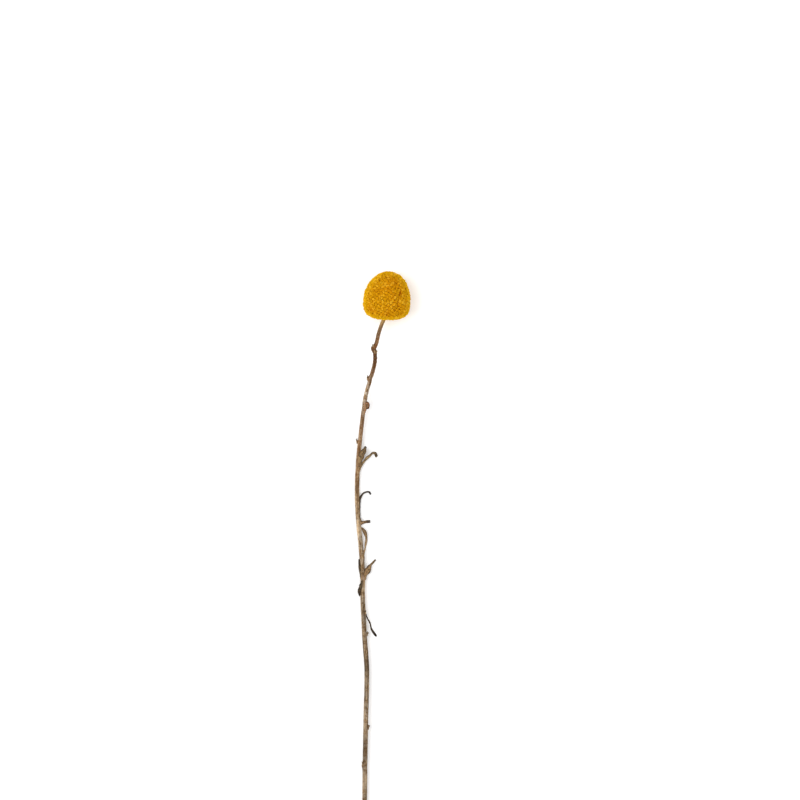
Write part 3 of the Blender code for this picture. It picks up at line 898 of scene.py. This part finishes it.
leafShapes = {
    "leaf_top_curl": {
        "spine": [(66.0, -0.2, 34), (63.2, 0.1, 38), (60.8, 0.2, 42), (59.5, 0.4, 48), (60.1, 0.9, 55),
                  (61.5, 1.0, 59), (62.2, 0.4, 61), (61.6, 0.1, 61)],
        "width": [(0.0, 1.6), (0.35, 2.4), (0.75, 2.2), (1.0, 1.5)],
        "curl": [(0.0, 1.7), (0.5, 2.0), (1.0, 2.6)],
        "twist": (-10, -30), "dark": 0.62, "red": 1.2, "wave": 0.12,
    },
    "leaf_clasping": {
        "spine": [(96.4, -0.2, 34), (92.8, 0.3, 42), (89.4, 1.2, 52), (86.8, 2.3, 60), (84.4, 2.7, 64)],
        "width": [(0.0, 2.2), (0.3, 3.5), (0.7, 3.0), (0.9, 1.7), (1.0, 0.8)],
        "curl": [(0.0, 1.5), (0.4, 1.3), (0.8, 1.8), (1.0, 3.0)],
        "twist": (-15, -60), "dark": 0.66, "red": 0.1, "wave": 0.42,
    },
    "leaf_long_hook": {
        "spine": [(100.2, -0.2, 92), (96.6, 0.7, 90), (93.4, 2.8, 89), (90.9, 4.9, 88), (88.7, 6.7, 87),
                  (88.7, 8.2, 86), (90.8, 9.2, 85)],
        "width": [(0.0, 1.6), (0.4, 2.0), (0.7, 1.5), (0.9, 1.8), (1.0, 1.4)],
        "curl": [(0.0, 1.4), (0.5, 2.4), (1.0, 3.6)],
        "twist": (-40, -80), "dark": 0.65, "red": 0.0, "wave": 0.16,
    },
    "leaf_fine_hook": {
        "spine": [(128.2, -0.2, 76), (121.8, 0.1, 77), (116.6, 0.6, 78), (113.6, 2.0, 80), (112.2, 4.0, 82),
                  (112.2, 5.8, 84), (113.8, 6.7, 84)],
        "width": [(0.0, 1.8), (0.42, 1.6), (0.58, 1.0), (1.0, 0.9)],
        "curl": [(0.0, 1.5), (0.5, 2.6), (1.0, 3.8)],
        "twist": (-20, -60), "dark": 1.12, "red": 0.0, "wave": 0.05,
    },
    "leaf_stub": {
        "spine": [(130.9, -0.4, 76), (130.2, 1.6, 79), (129.9, 3.6, 80), (129.8, 5.7, 80)],
        "width": [(0.0, 1.8), (0.5, 1.5), (0.85, 1.6), (1.0, 1.8)],
        "curl": [(0.0, 1.8), (1.0, 4.2)],
        "twist": (-60, -80), "dark": 0.72, "red": 0.7, "wave": 0.06,
    },
    "leaf_ribbon": {
        "spine": [(152.6, -0.2, 74), (148.4, 0.2, 74), (144.6, 1.4, 75), (140.6, 2.4, 76), (136.8, 2.3, 76),
                  (132.8, 0.3, 75)],
        "width": [(0.0, 1.2), (0.35, 1.0), (0.6, 1.4), (0.85, 2.0), (1.0, 0.9)],
        "curl": [(0.0, 1.5), (0.5, 1.6), (0.85, 1.2), (1.0, 1.6)],
        "twist": (-30, -75), "dark": 0.35, "red": 0.3, "wave": 0.14,
    },
    "leaf_broad": {
        "spine": [(163.6, -0.2, 56), (161.0, 0.7, 64), (158.4, 2.0, 71), (155.8, 3.6, 76), (153.8, 5.3, 78),
                  (152.2, 7.0, 78)],
        "width": [(0.0, 2.2), (0.30, 3.9), (0.52, 3.1), (0.68, 1.2), (1.0, 1.0)],
        "curl": [(0.0, 1.6), (0.4, 1.1), (0.8, 2.8), (1.0, 3.6)],
        "twist": (-10, -60), "dark": 0.60, "red": 0.30, "wave": 0.55,
    },
    "leaf_sliver_upper": {
        "spine": [(163.0, -0.2, -50), (159.0, 0.2, -54), (155.0, 0.6, -58), (151.4, 0.6, -62)],
        "width": [(0.0, 1.4), (0.4, 2.1), (1.0, 0.8)],
        "curl": [(0.0, 1.2), (1.0, 2.8)],
        "twist": (20, 35), "dark": 0.95, "red": 0.0, "wave": 0.14,
    },
    "leaf_sliver_lower": {
        "spine": [(163.8, -0.2, -4), (166.4, 0.4, -24), (169.8, 0.8, -46), (173.4, 0.6, -64)],
        "width": [(0.0, 1.3), (0.4, 2.0), (0.75, 2.1), (1.0, 0.9)],
        "curl": [(0.0, 1.2), (1.0, 2.4)],
        "twist": (-5, -30), "dark": 1.05, "red": 0.0, "wave": 0.34,
    },
    "leaf_trailing": {
        "spine": [(182.4, -0.2, 80), (186.2, 0.9, 80), (189.4, 2.5, 80), (192.4, 3.0, 79), (195.4, 4.7, 79),
                  (197.4, 5.9, 78)],
        "width": [(0.0, 1.3), (0.5, 1.0), (0.85, 1.45), (1.0, 0.9)],
        "curl": [(0.0, 1.4), (1.0, 3.4)],
        "twist": (20, 70), "dark": 1.12, "red": 0.0, "wave": 0.14,
    },
    "leaf_foot": {
        "spine": [(334.4, -0.2, 24), (329.8, 0.2, 24), (325.0, 0.7, 26), (321.4, 1.6, 30), (319.2, 2.6, 34)],
        "width": [(0.0, 1.6), (0.4, 2.5), (0.8, 1.7), (1.0, 0.7)],
        "curl": [(0.0, 1.7), (0.5, 1.9), (1.0, 3.0)],
        "twist": (0, 20), "dark": 0.5, "red": 0.1, "wave": 0.16,
    },
}

# A grid is the points along a blade and across it. The tip closes from a share of the length.
leafMake = {
    "grid": (54, 15), "smallGrid": (9, 5), "thickness": 0.20, "margin": 0.10,
    "midrib": 0.10, "midribWidth": 0.5, "tornEdge": 0.26, "crumple": 0.16,
    "closeFrom": 0.94, "closeOver": 0.06, "closed": 0.12,
}

leafFinish = {
    "papery": (0.430, 0.285, 0.135),
    "brown": (0.175, 0.102, 0.042),
    "black": (0.021, 0.014, 0.009),
    "rust": (0.255, 0.080, 0.036),
    "vein": (0.49, 0.36, 0.19),
    "streaks": {"Across": 1.9, "Along": 0.22, "Contrast": 1.5},
    "relief": (0.5, 0.10), "roughness": 0.75, "specular": 0.14,
}


def leafMaterial(name, dark, red):
    # dark is how far the leaf has gone from papery brown to near black
    look = leafFinish
    material, tree, shader = newMaterial(name, look)
    place = addAttribute(tree, "bladePlace", "Vector")
    streaks = addGroup(tree, dryFibres, place, look["streaks"])
    colour = addRamp(tree, streaks.outputs["Streak"], [(0.15, look["brown"]), (0.85, look["papery"])])
    colour = addMix(tree, red * 0.6, colour, look["rust"])
    colour = addMix(tree, times(tree, addAttribute(tree, "vein"), 0.5), colour, look["vein"])
    blotch = {"Scale": 0.9, "From": 0.60 - 0.22 * dark, "To": 0.66, "Amount": 0.9}
    colour = addMix(tree, addPatches(tree, place, blotch), colour, look["black"])
    charred = times(tree, addAttribute(tree, "shrivel"), min(1.4 * dark, 0.40 + 0.5 * dark))
    colour = addMix(tree, charred, colour, look["black"])
    colour = addMix(tree, 1.6 * max(dark - 0.6, 0.0), colour, look["black"])
    paint(tree, shader, colour, streaks.outputs["Height"], look["relief"])
    return material


def bladeMesh(name, spine, shape, number, outward, grid):
    # a thin closed blade, rolled across its width, with a raised midrib and a wavy torn edge
    make, (sections, across) = leafMake, grid
    points, faces, place = [], [], []
    values = {"vein": [], "shrivel": []}
    length = sum((a - b).length for a, b in zip(spine, spine[1:]))
    for section in range(sections):
        share = section / (sections - 1)
        nearby = (share, min(share + 0.02, 1.0), max(share - 0.02, 0.0))
        centre, ahead, behind = (throughPoints(spine, at) for at in nearby)
        direction = (ahead - behind).normalized()
        outward = (outward - direction * outward.dot(direction)).normalized()
        out = Matrix.Rotation(math.radians(mix(*shape["twist"], share)), 3, direction) @ outward
        side = direction.cross(out)
        curl = along(shape["curl"], share)
        past = max(0.0, (share - make["closeFrom"]) / make["closeOver"])
        closing = max(math.sqrt(max(0.0, 1 - past ** 2)), make["closed"])
        width = along(shape["width"], share) * closing
        bend = width / 2 / math.sin(min(curl, math.pi) / 2)
        for face in (-1, 1):
            for j in range(across):
                t = 2 * j / (across - 1) - 1
                ragged = noise.noise(Vector((share * 9 + number * 5, t * 0.6, 2.0)))
                arc = t * (1 + make["tornEdge"] * ragged * abs(t)) * curl / 2
                lag = 1.7 if t > 0 else 0
                waved = shape["wave"] * t * t * math.sin(share * length * 1.15 + number + lag)
                crumple = make["crumple"] * noise.noise(Vector((share * length * 0.9, t * 2.0, number * 3.0)))
                rib = math.exp(-(t * width / make["midribWidth"]) ** 2)
                thick = mix(make["thickness"], make["margin"], t * t) * face / 2
                if face > 0:
                    thick += make["midrib"] * rib * closing
                rise = bend * (math.cos(arc) - 1) + (waved + crumple) * closing
                normal = turned(out, side, arc)
                points.append(centre + side * (bend * math.sin(arc)) + out * rise + normal * thick)
                values["vein"].append(rib * 0.8 if face > 0 else 0.2)
                values["shrivel"].append(max(smooth(0.45, 0.90, abs(t)), smooth(0.40, 0.95, share)))
                place.append(Vector((t * width, face * 0.4 + number * 7, share * length)))
    row = 2 * across
    for section in range(sections - 1):
        here = section * row
        for j in range(across - 1):
            a, b = here + j, here + across + j
            faces.append((a, a + row, a + row + 1, a + 1))
            faces.append((b, b + 1, b + row + 1, b + row))
        low, high = here + across - 1, here + row - 1
        faces.append((here, here + across, here + row + across, here + row))
        faces.append((low, low + row, high + row, high))
    for here, first in ((0, True), ((sections - 1) * row, False)):
        for j in range(across - 1):
            quad = (here + j, here + j + 1, here + j + across + 1, here + j + across)
            faces.append(quad if first else tuple(reversed(quad)))
    return makeMesh(name, points, faces, values=values, vectors={"bladePlace": place})


def buildLeaf(name, shape, number):
    spine = [stemCentre(back) + aroundStem(back, angle) * (stemRadius(back) + out)
             for back, out, angle in shape["spine"]]
    outward = aroundStem(shape["spine"][0][0], shape["spine"][0][2])
    mesh = bladeMesh(name + "_blade", spine, shape, number, outward, leafMake["grid"])
    finish = leafMaterial(name + "Finish", shape["dark"], shape["red"])
    finishPiece(makeObject(name + "_blade", mesh), name, finish)


# Small torn scales that stand at the scars, and dry bracts round the stem where it enters the head

scaleField = {
    "seed": 3, "perMark": 3, "length": 1.5, "width": 0.8, "tipWidth": 0.25, "lift": (0.2, 0.8),
    "twistDeg": 30, "dark": 0.5, "red": 0.4,
}

collar = {
    "back": 10.95, "count": 13, "length": 1.60, "lengthVaries": 0.22, "tiltVaries": 0.15, "droop": 0.45,
    "rootWidth": 0.7, "width": 1.0, "tipWidth": 0.35,
}

bractFinish = {
    "colour": (0.500, 0.320, 0.095), "shadow": (0.270, 0.145, 0.040),
    "spotScale": 1100.0, "roughness": 0.75, "specular": 0.14,
}


def joinInto(name, meshes, material, node):
    # several small closed meshes as one piece
    things = [makeObject(name, mesh) for mesh in meshes]
    with bpy.context.temp_override(active_object=things[0], selected_editable_objects=things):
        bpy.ops.object.join()
    things[0].name = name
    finishPiece(things[0], node, material)


def buildScales():
    field, width = scaleField, scaleField["width"]
    rng = random.Random(field["seed"])
    meshes = []
    for back, angle, tall, markLength, markWidth in stemMarks:
        for _ in range(field["perMark"]):
            at = back + rng.uniform(-0.4, 0.4) * markLength
            turn = angle + rng.uniform(-0.4, 0.4) * markWidth
            long, lift = field["length"] * rng.uniform(0.6, 1.3), rng.uniform(*field["lift"])
            steps = ((0.5, -0.25), (0.0, 0.0), (-0.5, lift * 0.4), (-1.0, lift))
            spine = [stemCentre(at + far * long) + aroundStem(at + far * long, turn + far * 8)
                     * (stemRadius(at) + tall * 0.7 + out) for far, out in steps]
            shape = {
                "width": [(0.0, width), (0.5, width), (1.0, field["tipWidth"])],
                "curl": [(0.0, 1.0), (1.0, 2.4)], "wave": 0.05,
                "twist": (0, rng.uniform(-field["twistDeg"], field["twistDeg"])),
            }
            number, outward = rng.uniform(0, 50), aroundStem(at, turn)
            meshes.append(bladeMesh("scale", spine, shape, number, outward, leafMake["smallGrid"]))
    finish = leafMaterial("scaleFinish", field["dark"], field["red"])
    joinInto("stem_scales", meshes, finish, "stem")


def buildCollar():
    form, centre, root = collar, stemCentre(collar["back"]), stemRadius(collar["back"]) * 0.7
    direction, up, right = (headTurn @ Vector(way) for way in ((0, 0, 1), (-1, 0, 0), (0, -1, 0)))
    shape = {
        "width": [(0.0, form["rootWidth"]), (0.5, form["width"]), (1.0, form["tipWidth"])],
        "curl": [(0.0, 0.8), (1.0, 1.2)], "twist": (0, 0), "wave": 0.04,
    }
    meshes = []
    for k in range(form["count"]):
        out = turned(up, right, 2 * math.pi * k / form["count"])
        tilt = 1 + form["tiltVaries"] * math.sin(k * 2.7)
        length = form["length"] * (1 + form["lengthVaries"] * math.sin(k * 1.9))
        spine = [centre + out * (root + length * share)
                 + direction * (1.0 - share * tilt + form["droop"] * share * share)
                 for share in (0.0, 0.35, 0.7, 1.0)]
        meshes.append(bladeMesh("bract", spine, shape, k * 3.0, direction, leafMake["smallGrid"]))
    joinInto("head_collar", meshes, dryMaterial("bractStraw", bractFinish), "flower_head")


# Stage: pale floor, soft light from above and the upper left, camera straight above as in the photograph

photoView = {
    "pixels": 800, "pixelsPerMm": 1.696, "restPixel": (386.9, 302.0),
    "cameraHeight": 2500.0, "sensor": 36.0, "clip": (0.01, 20.0),
    "floor": (0.93, 0.93, 0.93), "floorGlow": 0.14, "floorHalf": 3000.0, "floorDrop": 0.05,
    "backdrop": 1.0, "worldStrength": 0.50,
    "lights": [
        {"name": "keyLight", "from": (0.05, 0.75, 1.25), "softDeg": 45.0, "strength": 1.25},
        {"name": "overheadLight", "from": (-0.10, -0.15, 1.0), "softDeg": 90.0, "strength": 1.35},
    ],
}


def placeFromPixel(x, y):
    # the point of the surface that the photograph shows at a pixel
    restX, restY = photoView["restPixel"]
    return Vector((-(y - restY), -(x - restX), 0.0)) * (mm / photoView["pixelsPerMm"])


def buildFloor():
    half, z = photoView["floorHalf"], -photoView["floorDrop"]
    corners = [(-half, -half, z), (half, -half, z), (half, half, z), (-half, half, z)]
    floor = makeObject("floor", makeMesh("floor", corners, [(0, 1, 2, 3)], smoothShade=False))
    material, tree, shader = newMaterial("floorPaper", {"roughness": 0.95, "specular": 0.0})
    feed(tree, shader, {
        "Base Color": photoView["floor"], "Emission Color": (1, 1, 1),
        "Emission Strength": photoView["floorGlow"],
    })
    floor.data.materials.append(material)


def buildCamera():
    view = photoView
    camera = makeObject("overheadCamera", bpy.data.cameras.new("overheadCamera"))
    height = view["cameraHeight"] * mm
    camera.location = placeFromPixel(view["pixels"] / 2, view["pixels"] / 2) + Vector((0, 0, height))
    camera.rotation_euler = (0, 0, -math.pi / 2)
    camera.data.sensor_width = view["sensor"]
    camera.data.lens = view["sensor"] * height / (view["pixels"] / view["pixelsPerMm"] * mm)
    camera.data.clip_start, camera.data.clip_end = view["clip"]
    bpy.context.scene.camera = camera


def buildLights():
    view = photoView
    for lamp in view["lights"]:
        light = makeObject(lamp["name"], bpy.data.lights.new(lamp["name"], "SUN"))
        light.data.angle = math.radians(lamp["softDeg"])
        light.data.energy = lamp["strength"]
        light.location = Vector(lamp["from"])
        light.rotation_euler = (-light.location).to_track_quat("-Z", "Y").to_euler()
    # the backdrop looks white, and lights the stem less than it looks
    world = bpy.data.worlds.new("studio")
    world.use_nodes = True
    tree = world.node_tree
    seen = tree.nodes.new("ShaderNodeLightPath").outputs["Is Camera Ray"]
    extra = times(tree, seen, view["backdrop"] - view["worldStrength"])
    strength = plus(tree, extra, view["worldStrength"])
    feed(tree, tree.nodes["Background"], {"Color": (1, 1, 1), "Strength": strength})
    bpy.context.scene.world = world
    bpy.context.scene.view_settings.view_transform = "Standard"


buildReceptacle()
buildFlorets()
stemBark = buildStem()
buildHairs(stemBark)
for leafNumber, (leafName, leafShape) in enumerate(leafShapes.items()):
    buildLeaf(leafName, leafShape, leafNumber)
buildScales()
buildCollar()
buildFloor()
buildCamera()
buildLights()
